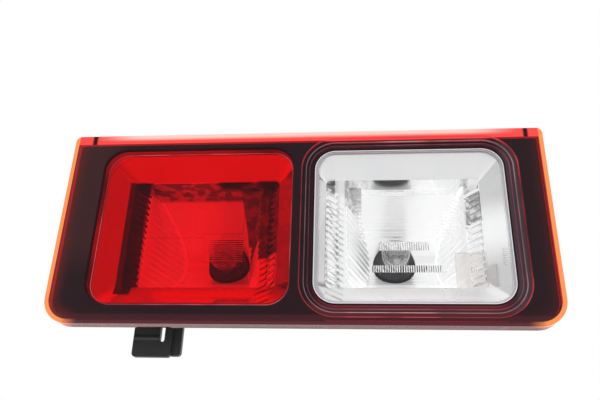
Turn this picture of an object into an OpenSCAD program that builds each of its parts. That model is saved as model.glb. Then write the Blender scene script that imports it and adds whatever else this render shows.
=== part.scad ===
// Tail light cluster for a bumper: fog chamber and reversing chamber behind one lens.
// The lens faces -Y, X runs along the lamp, Z is up.
// Depths are counted back from the front of the lens, and the rear bosses end at y = 0.

/* [Lamp] */
// Width of the lens
lamp_w = 250; // [244:1:262]
// Height of the lens
lamp_h = 104.5; // [103:0.5:112]
// Height of the mounting bosses behind the tub
boss_h = 2.7; // [2.2:0.1:6]
// Radius of the upper corners
top_corner_r = 3; // [2:0.5:5]
// Radius of the lower corners
bottom_corner_r = 13; // [10:0.5:15]

/* [Outer lens] */
// Wall of the red lens
lens_wall = 2.6; // [2.2:0.1:3]
// Depth of the lens skirt
skirt_depth = 8; // [7.4:0.2:9]
// Width of the stepped ring round the reversing lens
ring_w = 6.7; // [6:0.1:8]
// Drop of each of the two steps
ring_step = 0.8; // [0.5:0.1:1]
// Width of the outer step
ring_step_w = 2.4; // [1.5:0.1:3]
// Thickness of the ring behind its lower step
ring_floor = 1.3; // [1:0.1:1.6]

/* [Windows] */
// Margin between the side of the lamp and the fog window
fog_margin_side = 19.5; // [19:0.5:24]
// Margin between the side of the lamp and the reversing window
reverse_margin_side = 20.9; // [20.4:0.5:24.4]
// Margin between the middle of the lamp and the fog window
fog_margin_mid = 4.5; // [4.3:0.1:6]
// Margin between the middle of the lamp and the reversing window
reverse_margin_mid = 7.5; // [7.3:0.1:9]
// Margin above the fog window
fog_margin_top = 9.4; // [9:0.1:12]
// Margin below the fog window
fog_margin_low = 10.9; // [10.5:0.1:13]
// Margin above and below the reversing window
reverse_margin_z = 10.7; // [10.5:0.1:13]
// Corner radius of the windows
window_r = 11; // [8:0.5:13]

/* [Reversing lens] */
// Thickness of the clear panel
panel_t = 2.4; // [2:0.1:2.8]
// Width of the raised edge of the panel
bead_w = 2; // [1:0.1:3]
// Height of the raised edge
bead_h = 0.4; // [0.2:0.1:0.6]
// Overlap of its hidden flange behind the red lens
insert_lap = 2.4; // [1.8:0.1:2.8]

/* [Lens optics] */
// Pitch of the fine lines across the windows
line_pitch = 1.9; // [1.5:0.1:2.6]
// Height of a line
line_h = 0.12; // [0.08:0.01:0.2]
// Pitch of the dashes
dash_pitch = 1.1; // [0.9:0.1:1.4]
// Height of a dash
dash_h = 0.25; // [0.15:0.05:0.35]
// Height of the pads behind the windows
pad_h = 0.35; // [0.2:0.05:0.5]

/* [Bezel] */
// Wall of the bezel
bezel_wall = 1.6; // [1.2:0.1:1.9]
// Gap between the lens and the face of the bezel
bezel_gap = 0.5; // [0.3:0.1:0.8]
// Edge of the bezel inside the top edge of the lens
bezel_top_inset = 5.2; // [4.8:0.1:6]
// Edge of the bezel inside the other edges
bezel_side_inset = 3; // [3:0.1:3.4]

/* [Reflectors] */
// Wall of the reflectors
reflector_wall = 2; // [1.5:0.1:2.2]
// Edge of the reversing reflector's mouth beyond its window
mouth_over = 1; // [0.5:0.1:1.2]
// Margin between the side of the lamp and the fog recess
fog_recess_side = 33.2; // [32:0.2:36]
// Margin between the side of the lamp and the reversing recess
reverse_recess_side = 32.3; // [32:0.1:36]
// Margin between the middle of the lamp and the fog recess
fog_recess_mid = 12.2; // [11.5:0.1:13]
// Margin between the middle of the lamp and the reversing recess
reverse_recess_mid = 13.1; // [12:0.1:14]
// Margin above the recesses
recess_top = 23.2; // [22.5:0.1:25]
// Margin below the recesses
recess_low = 21.8; // [21:0.1:24]
// Corner radius at the foot of the slope
recess_r = 2.5; // [1.5:0.5:4]
// Depth at which the slope ends and the recess starts
recess_depth = 13; // [11.5:0.5:14]
// Depth of the ledge between the recess and the bowl
ledge_depth = 22; // [20:0.5:24]
// Width of the ledge towards the middle of the lamp
ledge_w = 4.1; // [3:0.1:5]
// Run of the slanted ends of the recess
end_run = 6; // [5:0.5:7]
// Run of the slanted ends of the bowl
bowl_run = 12; // [9:0.5:12]
// Focal length of the bowl's section
focal = 5.8; // [5.6:0.1:6.4]
// Depth of the bulb hole's edge
hole_depth = 58; // [56:0.5:60]
// Radius of the bulb hole
hole_r = 12.4; // [12:0.1:12.6]
// Pitch of the flutes on the slanted ends
end_pitch = 3.6; // [3:0.1:6]
// Height of those flutes
end_flute_h = 1.1; // [0.6:0.1:1.4]

/* [Bulbs] */
// Offset of the fog bulb from the middle of its recess, towards the middle of the lamp
fog_bulb_offset = 4.6; // [3.5:0.1:5]
// Offset of the reversing bulb from the middle of its recess
reverse_bulb_offset = 2.7; // [1:0.1:4]
// Drop of the bulb axes below the middle of the recesses
bulb_drop = 0.7; // [0:0.1:1.2]
// Radius of the bulb glass
bulb_r = 7.75; // [7:0.05:8.2]
// Reach of the bulb in front of the bulb hole's edge
bulb_reach = 24; // [20:0.5:25]
// Reach of the filament in front of the bulb hole's edge
filament_reach = 14; // [11:0.5:15]
// Wall of the bulb glass
glass_wall = 0.7; // [0.5:0.1:0.9]
// Spacing of the two lead wires
lead_gap = 6; // [5:0.2:7]
// Radius of a lead wire
lead_r = 0.3; // [0.2:0.05:0.4]
// Radius of the filament coil
filament_r = 0.5; // [0.4:0.05:0.7]
// Width of the pinched base
pinch_w = 14; // [12:0.5:15]
// Thickness of the pinched base
pinch_t = 4.4; // [3.6:0.1:4.8]

/* [Bulb holders] */
// Gap between the barrel and the bulb hole's edge
barrel_gap = 0.4; // [0.3:0.1:0.8]
// Step from the barrel down to the nose round the bulb
nose_step = 1.4; // [1:0.1:2]
// Reach of the locking lugs beyond the barrel
lug_h = 2.6; // [2:0.1:3]
// Thickness of the lugs
lug_t = 2.7; // [2:0.1:3.4]
// Angle that a lug covers
lug_angle = 26; // [20:1:32]
// Turn between the way in and the locked place
lock_turn = 60; // [50:1:60]
// Reach of the holder's flange beyond the barrel
flange_reach = 4.4; // [4:0.1:5]
// Thickness of the holder's flange
holder_flange_t = 2.4; // [2:0.1:3]
// Length of the grip behind the flange
grip_len = 5; // [4:0.5:7]
// Reach of the finger wings beyond the grip
wing_reach = 4; // [3:0.2:4.4]
// Thickness of the face seal
face_seal_t = 1.6; // [1.2:0.1:2]
// Width of the plug socket
socket_w = 20; // [18:0.5:22]
// Height of the plug socket
socket_h = 12.6; // [12:0.2:14]
// Depth of the plug socket's cavity
socket_deep = 12; // [10:0.5:14]
// Wall of the plug socket
socket_wall = 1.5; // [1.2:0.1:1.8]
// Width of a contact blade
blade_w = 2.8; // [2.2:0.1:3]
// Thickness of a contact blade
blade_t = 0.8; // [0.6:0.1:1]

/* [Housing] */
// Wall of the housing
housing_wall = 2.3; // [1.8:0.1:2.6]
// Edge of the housing's flange inside the lens edge
flange_inset = 1; // [0.8:0.1:1.6]
// Margin between the side of the lamp and the tub that holds the bowls
tub_margin = 25; // [23:1:26]
// Gap round the bowls inside the tub
tub_gap = 1; // [0.4:0.1:1.4]
// Depth of the shelf beside the tub
shelf_depth = 17; // [16.5:0.5:20]
// Wall between the two chambers
web_t = 2.4; // [2:0.1:3]
// Radius of the mounting bosses
boss_r = 7; // [6:0.5:8]
// Distance of a mounting boss from the side of the tub
boss_inset = 10; // [9:0.5:11]
// Width of the fixing tongue
clip_w = 26; // [24:1:30]
// Distance of the fixing tongue from the side of the lamp
clip_inset = 34; // [30:1:60]
// Reach of the fixing tongue below the lens
clip_drop = 8; // [6:0.5:12]
// Depth of the face of the fixing tongue
clip_depth = 38.5; // [36:0.5:42]
// Thickness of the fixing tongue
clip_t = 3; // [2.4:0.1:3.6]
// Width of the slot in the fixing tongue
clip_slot = 2.5; // [1.5:0.1:3]
// Width of the rib beside the tongue
clip_rib_w = 5; // [4:0.5:6]
// Step back of that rib
clip_rib_step = 2; // [1:0.1:3]

/* [Fasteners] */
// Thread bore radius of the mounting inserts, for M5
insert_bore_r = 2.1; // [2.1:0.1:2.6]
// Outer radius of the mounting inserts
insert_r = 3.6; // [3.2:0.1:4]
// Length of the mounting inserts
insert_len = 12; // [9:0.5:14]
// Shank radius of the reflector screws
screw_r = 1.4; // [1.2:0.1:1.6]
// Head radius of the reflector screws
screw_head_r = 2.6; // [2.2:0.1:2.7]
// Length of the reflector screws
screw_len = 9; // [7:0.5:10]
// Height of a screw head
screw_head_t = 1.5; // [1.2:0.1:1.6]

/* [Breather] */
// Radius of the breather spout
spout_r = 4; // [3.4:0.1:4.6]
// Height of the breather spout
spout_h = 3.4; // [3:0.1:4]
// Height of the breather above the middle
breather_z = 21; // [19:0.5:23]
// Radius of the breather cap
cap_r = 6; // [5.6:0.1:7]

/* [Hidden] */
$fn = 64;

// Clearances between neighbouring pieces
fit = 0.15;
loose = 0.3;
thread_fit = 0.05;
// Overshoot of every cut past the face it opens
cut = 1;
// Overlap of pieces of one solid
bite = 0.5;
// Widths of the hull's end plates
thin = 0.01;

// Windows and recesses as [x0, x1, z0, z1]
half_w = lamp_w / 2;
half_h = lamp_h / 2;
fog_win = [-half_w + fog_margin_side, -fog_margin_mid, -half_h + fog_margin_low, half_h - fog_margin_top];
reverse_win = [reverse_margin_mid, half_w - reverse_margin_side,
               -half_h + reverse_margin_z, half_h - reverse_margin_z];
reverse_mouth = reverse_win + mouth_over * [-1, 1, 0, 1];
fog_recess = [-half_w + fog_recess_side, -fog_recess_mid, -half_h + recess_low, half_h - recess_top];
reverse_recess = [reverse_recess_mid, half_w - reverse_recess_side,
                  -half_h + recess_low, half_h - recess_top];
bulb_z = (fog_recess[2] + fog_recess[3]) / 2 - bulb_drop;
fog_bulb_x = (fog_recess[0] + fog_recess[1]) / 2 + fog_bulb_offset;
reverse_bulb_x = (reverse_recess[0] + reverse_recess[1]) / 2 - reverse_bulb_offset;

// Stack of depths, from the lens front backwards
insert_flange_t = panel_t - 0.9;
ring_back = 2 * ring_step + ring_floor + insert_flange_t;
ring_rim = 1.2;
bezel_front = lens_wall + bezel_gap;
bezel_back = bezel_front + 2 * bezel_wall + 0.1;
pocket_front = ring_back + loose + 0.1;
pocket_wall = 0.6;
flange_front = skirt_depth + 0.2;
flange_back = flange_front + housing_wall;
rim_front = bezel_back;
rim_back = flange_front;
vertex_depth = hole_depth + pow(hole_r, 2) / (4 * focal);
tub_depth = vertex_depth + reflector_wall + lug_t + 2 * loose;
tub_back = tub_depth + housing_wall;
mount_depth = tub_back + boss_h;
bulb_tip = hole_depth - bulb_reach;
filament_depth = hole_depth - filament_reach;
pinch_top = hole_depth - 1;
pinch_end = hole_depth + 6;

// Outline of the bezel's wall and of the upstand that carries it
seat_inset = bezel_top_inset;
seat_t = bezel_wall;
seat_x = half_w - seat_inset - seat_t;
seat_z = half_h - seat_inset - seat_t;

// Screws at the outer corners of the reflectors
screw_x = seat_x - 5.9;
screw_z = seat_z - 3.2;
post_wall = 0.5;

// Shelf part of the housing, the tub behind it and the bosses on its back
well_x = seat_x - 3.8;
well_z = seat_z + 1.6;
well_side = housing_wall + 4;
tub_x = half_w - tub_margin;
tub_z0 = fog_recess[2] - reflector_wall - tub_gap - housing_wall;
tub_z1 = fog_recess[3] + reflector_wall + tub_gap + housing_wall;
boss_x = tub_x - boss_inset;

// Holder: radii of its barrel, nose and flange, and the plug socket behind its grip
barrel_r = hole_r - barrel_gap;
nose_r = barrel_r - nose_step;
flange_r = barrel_r + flange_reach;
seal_back = tub_back + face_seal_t;
grip_depth = seal_back + holder_flange_t;
socket_back = grip_depth + grip_len + socket_deep;

// Optic fields behind the windows, as [x0, x1, z0, z1] from the middle of the window
clear_lines = [-27.5, 29.5, -8.5, 14.5];
clear_dashes = [[-16, 4.5, 15.5, 18], [-16, 9, -14, -9.5], [-19.5, 32, -25.3, -21.8], [21.5, 32, -37, -34.3]];
clear_side_dashes = [43.4, 46, -21.3, -11.5];
clear_pads = [[20.5, 27.8, -32.8, -15.5], [28.4, 35.2, -23.8, -15.5], [28.4, 35.2, -32.8, -24.4]];
fog_pads = [[-25.5, 24.5, -7.5, 15.3], [7, 28.2, -20.3, -7]];
fog_bright_pad = [2, 26.7, -5.3, 8.7];
fog_lines = [8, 27.2, -19.8, -8.2];

// A flat shape drawn in X and Z, pushed through from depth d0 to depth d1
module slab(d0, d1) {
    translate([0, d1 - mount_depth, 0]) rotate([90, 0, 0]) linear_extrude(d1 - d0) children();
}

// A profile of [radius, depth] points turned about an axis along the depth
module turned(x, z) {
    translate([x, -mount_depth, z]) rotate([-90, 0, 0]) rotate_extrude() children();
}

// A rod or bore of radius r from depth d0 to depth d1
module rod(x, z, r, d0, d1) {
    translate([x, d0 - mount_depth, z]) rotate([-90, 0, 0]) cylinder(r = r, h = d1 - d0);
}

// Rectangle from corner to corner with its own radii above and below
module corner_plate(x0, x1, z0, z1, r_top, r_low) {
    translate([x0, z0 + r_low]) square([x1 - x0, z1 - z0 - r_low - r_top]);
    translate([x0 + r_low, z0]) square([x1 - x0 - 2 * r_low, z1 - z0]);
    translate([x0 + r_top, z0 + r_low]) square([x1 - x0 - 2 * r_top, z1 - z0 - r_low]);
    for (x = [x0 + r_low, x1 - r_low]) translate([x, z0 + r_low]) circle(r_low);
    for (x = [x0 + r_top, x1 - r_top]) translate([x, z1 - r_top]) circle(r_top);
}

// Rounded pane over a box [x0, x1, z0, z1], grown all round
module pane(box, grow, r) {
    corner_plate(box[0] - grow, box[1] + grow, box[2] - grow, box[3] + grow, r, r);
}

// Outline of the lamp, drawn in by an inset, with its own inset at the top
module lamp_outline(inset, top_inset) {
    corner_plate(-half_w + inset, half_w - inset, -half_h + inset, half_h - top_inset,
                 max(top_corner_r - inset, 0.5), max(bottom_corner_r - inset, 1));
}

module lamp_ring(inset0, inset1) {
    difference() {
        lamp_outline(inset0, inset0);
        lamp_outline(inset1, inset1);
    }
}

module fog_pane(grow) {
    pane(fog_win, grow, window_r + grow);
}

module reverse_pane(grow) {
    pane(reverse_win, grow, window_r + grow);
}

// Row of half-round flutes: profile across the flutes, starting at zero
function flute_row(count, pitch, height, sunk) =
    concat([[0, -sunk]],
           [for (i = [0:count - 1], k = [0:4]) [(i + k / 4) * pitch, height * sin(45 * k)]],
           [[count * pitch, -sunk]]);

// A box of an optic field, moved from the middle of its window to its place
function field(win, box) = box + (win[0] + win[1]) / 2 * [1, 1, 0, 0];

// Lines that run along X on the back of a panel at the given depth
module lines(box, pitch, height, depth) {
    count = floor((box[3] - box[2]) / pitch);
    translate([box[0], depth - mount_depth, box[2]]) rotate([90, 0, 90]) linear_extrude(box[1] - box[0])
        polygon([for (p = flute_row(count, pitch, height, bite)) [p[1], p[0]]]);
}

// Dashes that run up the lamp on the back of a panel at the given depth
module dashes(box, depth) {
    count = floor((box[1] - box[0]) / dash_pitch);
    translate([box[0], depth - mount_depth, box[2]]) linear_extrude(box[3] - box[2])
        polygon(flute_row(count, dash_pitch, dash_h, bite));
}

// Outer lens: front plate, skirt, stepped ring and the opening for the clear panel
module outer_lens() {
    color("red") difference() {
        slab(0, skirt_depth) lamp_outline(0, 0);
        slab(lens_wall, skirt_depth + cut) difference() {
            lamp_outline(lens_wall, lens_wall);
            reverse_pane(ring_w + ring_rim);
        }
        slab(ring_back, skirt_depth + cut) reverse_pane(ring_w + ring_rim + cut);
        slab(-cut, ring_step) reverse_pane(ring_w);
        slab(-cut, 2 * ring_step) reverse_pane(ring_w - ring_step_w);
        slab(-cut, ring_back) reverse_pane(0);
        slab(2 * ring_step + ring_floor, ring_back + cut) reverse_pane(insert_lap + fit);
    }
    color("red") fog_optics();
}

// Pads inside the fog window, with fine lines on the one round the bulb
module fog_optics() {
    for (box = fog_pads) slab(lens_wall - bite, lens_wall + pad_h) pane(field(fog_win, box), 0, 0.6);
    slab(lens_wall, lens_wall + 2 * pad_h) pane(field(fog_win, fog_bright_pad), 0, 0.6);
    lines(field(fog_win, fog_lines), dash_pitch, line_h, lens_wall + pad_h);
}

// Clear panel with a raised edge and a flange that laps behind the red lens
module reverse_lens() {
    front = 2 * ring_step + bead_h;
    back = ring_back;
    color("whitesmoke") {
        slab(front, back) reverse_pane(-fit);
        slab(front - bead_h, front + bite) difference() {
            reverse_pane(-fit);
            reverse_pane(-fit - bead_w);
        }
        slab(2 * ring_step + ring_floor + fit / 2, back) reverse_pane(insert_lap);
        lines(field(reverse_win, clear_lines), line_pitch, line_h, back);
        for (box = clear_dashes) dashes(field(reverse_win, box), back);
        lines(field(reverse_win, clear_side_dashes), dash_pitch, dash_h, back);
        for (box = clear_pads) slab(back - bite, back + pad_h) pane(field(reverse_win, box), 0, 0.6);
    }
}

// Black tray behind the lens, with a window for each chamber
module bezel() {
    color("black") difference() {
        union() {
            slab(bezel_front, bezel_front + bezel_wall)
                lamp_outline(bezel_side_inset, bezel_top_inset);
            slab(bezel_front, bezel_back) lamp_ring(seat_inset, seat_inset + seat_t);
            slab(bezel_front, bezel_back) fog_pane(bezel_wall);
            slab(bezel_front, bezel_back) intersection() {
                reverse_pane(ring_w + ring_rim + loose + pocket_wall);
                lamp_outline(bezel_side_inset, bezel_top_inset);
            }
        }
        slab(bezel_front - cut, pocket_front) reverse_pane(ring_w + ring_rim + loose);
        slab(bezel_front - cut, bezel_back + cut) fog_pane(0);
        slab(bezel_front - cut, bezel_back + cut) reverse_pane(mouth_over - 0.2);
    }
}

// Section of the bowl as [depth, rise], set out along its normal by the wall
function bowl_point(rise, wall) =
    let (slope = rise / (2 * focal), n = sqrt(1 + slope * slope))
    [vertex_depth - rise * rise / (4 * focal) + wall / n, rise + wall * slope / n];

// Parabolic bowl that runs along the lamp between slanted ends; side is -1 or 1
module bowl(recess, side, wall) {
    mouth = sqrt(4 * focal * (vertex_depth - ledge_depth + 1));
    steps = 16;
    near = (side > 0 ? recess[0] : recess[1]) + side * (end_run + ledge_w - wall);
    far = (side > 0 ? recess[1] : recess[0]) - side * (end_run - wall);
    y0 = ledge_depth - mount_depth - cut;
    y1 = vertex_depth - mount_depth + reflector_wall;
    intersection() {
        translate([recess[0], 0, bulb_z]) rotate([90, 0, 90]) linear_extrude(recess[1] - recess[0])
            polygon([for (i = [-steps:steps])
                bowl_point(mouth * i / steps, wall) - [mount_depth, 0]]);
        translate([0, 0, recess[2] - wall]) linear_extrude(recess[3] - recess[2] + 2 * wall)
            polygon([[near, y0], [far, y0], [far - side * bowl_run, y1], [near + side * bowl_run, y1]]);
    }
}

// Sloped frame from the mouth to the recess
module slope(mouth, recess, wall) {
    hull() {
        slab(rim_front, rim_front + thin) pane(mouth, wall, window_r + wall, $fn = 40);
        slab(recess_depth + wall - thin, recess_depth + wall) pane(recess, wall, recess_r + wall, $fn = 40);
    }
}

// Recess in front of the bowl, with slanted ends
module trough(recess, wall) {
    y0 = recess_depth - mount_depth - thin;
    y1 = ledge_depth - mount_depth + wall;
    x0 = recess[0] - wall;
    x1 = recess[1] + wall;
    translate([0, 0, recess[2] - wall]) linear_extrude(recess[3] - recess[2] + 2 * wall)
        polygon([[x0, y0], [x1, y0], [x1 - end_run, y1], [x0 + end_run, y1]]);
}

// Flutes stacked up a slanted end that starts at x and runs back to the inside
module end_flutes(x, depth, run, fall, recess, high) {
    length = sqrt(run * run + fall * fall) - 2 * loose;
    rows = floor((recess[3] - recess[2] - 2 * end_flute_h) / end_pitch);
    z0 = (recess[2] + recess[3] - rows * end_pitch) / 2;
    translate([x, depth - mount_depth, z0]) mirror([high ? 1 : 0, 0, 0]) rotate([0, 0, atan2(fall, run)])
        translate([loose, 0, 0]) rotate([90, 0, 90]) linear_extrude(length)
        polygon([for (p = flute_row(rows, end_pitch, end_flute_h, bite)) [-p[1], p[0]]]);
}

// Rim plate, slope, recess and bowl of one chamber; side is -1 or 1
module reflector(side, mouth, recess, bulb_x) {
    x0 = min(side, side * (seat_x - loose));
    x1 = max(side, side * (seat_x - loose));
    z1 = seat_z - loose;
    near = side > 0 ? recess[0] : recess[1];
    difference() {
        union() {
            slab(rim_front, rim_back) corner_plate(x0, x1, -z1, z1, 1.5, 6);
            slope(mouth, recess, reflector_wall);
            trough(recess, reflector_wall);
            bowl(recess, side, reflector_wall);
        }
        slope(mouth, recess, 0);
        slab(rim_front - cut, rim_front + loose) pane(mouth, 0, window_r);
        trough(recess, 0);
        bowl(recess, side, 0);
        rod(bulb_x, bulb_z, hole_r, hole_depth - 10, vertex_depth + 10);
        for (z = [-screw_z, screw_z])
            rod(side * screw_x, z, screw_r + loose, rim_front - cut, rim_back + cut);
    }
    end_flutes(recess[0], recess_depth, end_run, ledge_depth - recess_depth, recess, false);
    end_flutes(recess[1], recess_depth, end_run, ledge_depth - recess_depth, recess, true);
    intersection() {
        end_flutes(near + side * (end_run + ledge_w), ledge_depth, bowl_run,
                   vertex_depth - ledge_depth, recess, side < 0);
        bowl(recess, side, reflector_wall / 2);
    }
}

module fog_reflector() {
    color("silver") reflector(-1, fog_win, fog_recess, fog_bulb_x);
}

module reverse_reflector() {
    color("silver") reflector(1, reverse_mouth, reverse_recess, reverse_bulb_x);
}

// Flange, seat, shelf and tub of the housing, still solid
module housing_shell() {
    slab(flange_front, flange_back) lamp_outline(flange_inset, flange_inset);
    slab(rim_front, flange_front) lamp_ring(seat_inset, seat_inset + seat_t);
    slab(flange_front, shelf_depth + housing_wall)
        corner_plate(-well_x, well_x, -well_z, well_z, 6, 10);
    slab(shelf_depth, tub_back) corner_plate(-tub_x, tub_x, tub_z0, tub_z1, 5, 5);
}

module housing_hollow() {
    slab(rim_front - cut, flange_front) lamp_outline(seat_inset + seat_t, seat_inset + seat_t);
    slab(rim_front, shelf_depth) corner_plate(-well_x + well_side, well_x - well_side,
                                              -well_z + housing_wall, well_z - housing_wall, 6, 10);
    for (s = [-1, 1]) slab(shelf_depth - cut, tub_depth)
        corner_plate(min(s * web_t / 2, s * (tub_x - housing_wall)),
                     max(s * web_t / 2, s * (tub_x - housing_wall)),
                     tub_z0 + housing_wall, tub_z1 - housing_wall, 3, 3);
}

// Lugs of a holder or the gaps for them, in three places round an axis along the depth
module lugs(x, d0, d1, r, reach, angle, turn) {
    for (i = [0:2]) translate([x, d0 - mount_depth, bulb_z])
        rotate([-90, 0, 0]) rotate([0, 0, 120 * i + turn])
        rotate_extrude(angle = angle, start = -angle / 2)
        translate([r - 1, 0]) square([1 + reach, d1 - d0]);
}

// Way in for the holder's barrel and its three lugs
module holder_hole(x) {
    rod(x, bulb_z, barrel_r + loose, tub_depth - cut, tub_back + cut);
    lugs(x, tub_depth - cut, tub_back + cut, barrel_r, lug_h + loose, lug_angle + 4, lock_turn);
}

// Fixing tongue under the tub, with its slot, ridge and set-back rib
module fixing_clip() {
    x0 = -half_w + clip_inset;
    x1 = x0 + clip_w - clip_rib_w;
    z0 = -half_h - clip_drop;
    root = tub_z0 + 1;
    slot_x = x1 - 4 - clip_slot;
    slot_z0 = z0 + 8;
    slot_z1 = tub_z0 - 4;
    ridge_z = z0 + 10;
    ridge_r = clip_t / 2;
    difference() {
        union() {
            slab(clip_depth, clip_depth + clip_t) corner_plate(x0, x1, z0, root, 0.5, 2);
            slab(clip_depth + clip_rib_step, clip_depth + clip_rib_step + clip_t)
                corner_plate(x1 - 2, x1 + clip_rib_w, z0 + 1, root, 0.5, 2);
            slab(clip_depth + clip_t - 1, clip_depth + 12)
                translate([slot_x + clip_slot, tub_z0 - 6]) square([2, 7]);
            translate([x0 + 0.4, clip_depth - mount_depth + 0.4, ridge_z]) rotate([0, 90, 0])
                cylinder(r = ridge_r, h = slot_x - x0 - 0.8);
        }
        slab(clip_depth - cut, clip_depth + clip_t + bite)
            corner_plate(slot_x, slot_x + clip_slot, slot_z0, slot_z1,
                         clip_slot / 2 - 0.05, clip_slot / 2 - 0.05);
    }
}

// Boss for an insert, with three ribs down to the back of the tub
module mount_boss(s) {
    rod(s * boss_x, 0, boss_r, tub_depth - insert_len, mount_depth);
    for (a = [90, 180, 270]) translate([s * boss_x, 0, 0]) rotate([0, a, 0])
        translate([0, tub_back - mount_depth - bite, -housing_wall / 2])
        cube([boss_r + 5, boss_h + bite - 1.5, housing_wall]);
}

module housing() {
    color([0.1, 0.1, 0.1]) difference() {
        union() {
            difference() {
                housing_shell();
                housing_hollow();
            }
            for (s = [-1, 1]) mount_boss(s);
            for (sx = [-1, 1], z = [-screw_z, screw_z])
                rod(sx * screw_x, z, screw_head_r + post_wall, flange_back - 1, rim_back + screw_len);
            for (x = [fog_bulb_x, reverse_bulb_x]) turned(x, bulb_z)
                translate([flange_r + loose, tub_back - 1]) square([housing_wall, face_seal_t + 3]);
            rod(0, breather_z, spout_r, tub_back - 1, tub_back + spout_h);
            fixing_clip();
        }
        for (x = [fog_bulb_x, reverse_bulb_x]) holder_hole(x);
        for (s = [-1, 1])
            rod(s * boss_x, 0, insert_r + thread_fit, mount_depth - insert_len, mount_depth + cut);
        for (sx = [-1, 1], z = [-screw_z, screw_z])
            rod(sx * screw_x, z, screw_r + thread_fit, flange_front - cut, rim_front + screw_len + 0.6);
        rod(0, breather_z, spout_r - 1.6, tub_depth - cut, tub_back + spout_h + cut);
    }
}

// Soft bead between the skirt and the housing's upstand
module lens_seal() {
    color("dimgray") slab(skirt_depth - 1.2, flange_front) lamp_ring(lens_wall + fit, seat_inset - fit);
}

// Wedge bulb: blown envelope, hollow inside, on a flat pinched base
module envelope(r, tip, base) {
    shoulder = tip + r * 1.15;
    polygon(concat(
        [[0, tip]],
        [for (a = [15:15:90]) [r * sin(a), shoulder - (shoulder - tip) * cos(a)]],
        [[r, base - 3], [r * 0.72, base], [0, base]]));
}

module bulb_glass(x) {
    color([0.9, 0.95, 1, 0.4]) difference() {
        union() {
            turned(x, bulb_z) envelope(bulb_r, bulb_tip, pinch_top + 0.4);
            translate([x - pinch_w / 2, pinch_top - 0.5 - mount_depth, bulb_z - pinch_t / 2])
                cube([pinch_w, pinch_end - pinch_top + 0.5, pinch_t]);
        }
        turned(x, bulb_z) envelope(bulb_r - glass_wall, bulb_tip + glass_wall, pinch_top - 1);
        for (s = [-1, 1])
            rod(x + s * lead_gap / 2, bulb_z, lead_r + thread_fit, pinch_top - 4, pinch_end + cut);
    }
}

module bulb_leads(x) {
    color("gray") for (s = [-1, 1])
        rod(x + s * lead_gap / 2, bulb_z, lead_r, filament_depth, pinch_end);
}

module bulb_filament(x) {
    color("lightgray")
        translate([x - lead_gap / 2 - bite, filament_depth - filament_r - mount_depth, bulb_z])
        rotate([0, 90, 0]) cylinder(r = filament_r, h = lead_gap + 2 * bite);
}

// Bulb holder: nose, barrel with lugs, flange, grip and plug socket
module bulb_holder(x) {
    lug_front = tub_depth - loose - lug_t;
    key = [5, 1.2];
    slit = [blade_w + 2 * thread_fit, blade_t + 2 * thread_fit];
    color([0.2, 0.2, 0.2]) difference() {
        union() {
            rod(x, bulb_z, nose_r, hole_depth - 0.5, tub_depth);
            rod(x, bulb_z, barrel_r, lug_front - 0.6, seal_back + bite);
            lugs(x, lug_front, tub_depth - loose, barrel_r, lug_h, lug_angle, 0);
            rod(x, bulb_z, flange_r, seal_back, grip_depth);
            rod(x, bulb_z, barrel_r, grip_depth - bite, grip_depth + grip_len);
            slab(grip_depth - bite, grip_depth + grip_len) translate([x, bulb_z])
                square([2 * (barrel_r + wing_reach), 5], center = true);
            slab(grip_depth + grip_len - bite, socket_back) translate([x, bulb_z])
                corner_plate(-socket_w / 2, socket_w / 2, -socket_h / 2, socket_h / 2, 2, 2);
            slab(grip_depth + grip_len, socket_back - 2) translate([x - key[0] / 2, bulb_z])
                square([key[0], socket_h / 2 + key[1]]);
        }
        slab(socket_back - socket_deep, socket_back + cut) translate([x, bulb_z])
            corner_plate(socket_wall - socket_w / 2, socket_w / 2 - socket_wall,
                         socket_wall - socket_h / 2, socket_h / 2 - socket_wall, 1, 1);
        slab(hole_depth - cut, pinch_end + fit) translate([x, bulb_z])
            square([pinch_w + 2 * fit, pinch_t + 2 * fit], center = true);
        for (s = [-1, 1]) slab(pinch_end, socket_back - socket_deep + cut)
            translate([x + s * lead_gap / 2, bulb_z]) square(slit, center = true);
    }
}

// Two blades from the bulb's base to the plug socket
module holder_contacts(x) {
    color("gold") for (s = [-1, 1]) slab(pinch_end + fit, socket_back - 2.5)
        translate([x + s * lead_gap / 2, bulb_z]) square([blade_w, blade_t], center = true);
}

module holder_seal(x) {
    color("dimgray") turned(x, bulb_z)
        translate([barrel_r + fit, tub_back]) square([flange_r - barrel_r - 1 - fit, face_seal_t]);
}

// Brass inserts with a groove round their middle and a blind bore
module mount_inserts() {
    groove = 0.5;
    land = 0.8;
    front = mount_depth - insert_len;
    mid = mount_depth - insert_len / 2;
    bore_end = front + 1.5;
    color("gold") for (s = [-1, 1]) turned(s * boss_x, 0) polygon([
        [0, front], [insert_r - groove, front], [insert_r, front + groove],
        [insert_r, mid - land], [insert_r - groove, mid - groove], [insert_r - groove, mid + groove],
        [insert_r, mid + land], [insert_r, mount_depth], [insert_bore_r, mount_depth],
        [insert_bore_r, bore_end], [0, bore_end]]);
}

// Pan-head screws with a cross recess
module reflector_screws() {
    crown = rim_front - screw_head_t;
    slot = [screw_head_r, 2 * screw_head_t / 3, 0.6];
    color("lightgray") for (sx = [-1, 1], z = [-screw_z, screw_z]) difference() {
        turned(sx * screw_x, z) polygon([
            [0, crown], [screw_head_r * 0.7, crown], [screw_head_r, crown + 0.6],
            [screw_head_r, rim_front], [screw_r, rim_front], [screw_r, rim_front + screw_len - 1],
            [0.4, rim_front + screw_len], [0, rim_front + screw_len]]);
        for (a = [0, 90]) translate([sx * screw_x, crown - mount_depth, z]) rotate([0, a, 0])
            cube(slot, center = true);
    }
}

module breather_membrane() {
    color("white") rod(0, breather_z, spout_r, tub_back + spout_h, tub_back + spout_h + 0.3);
}

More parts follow.
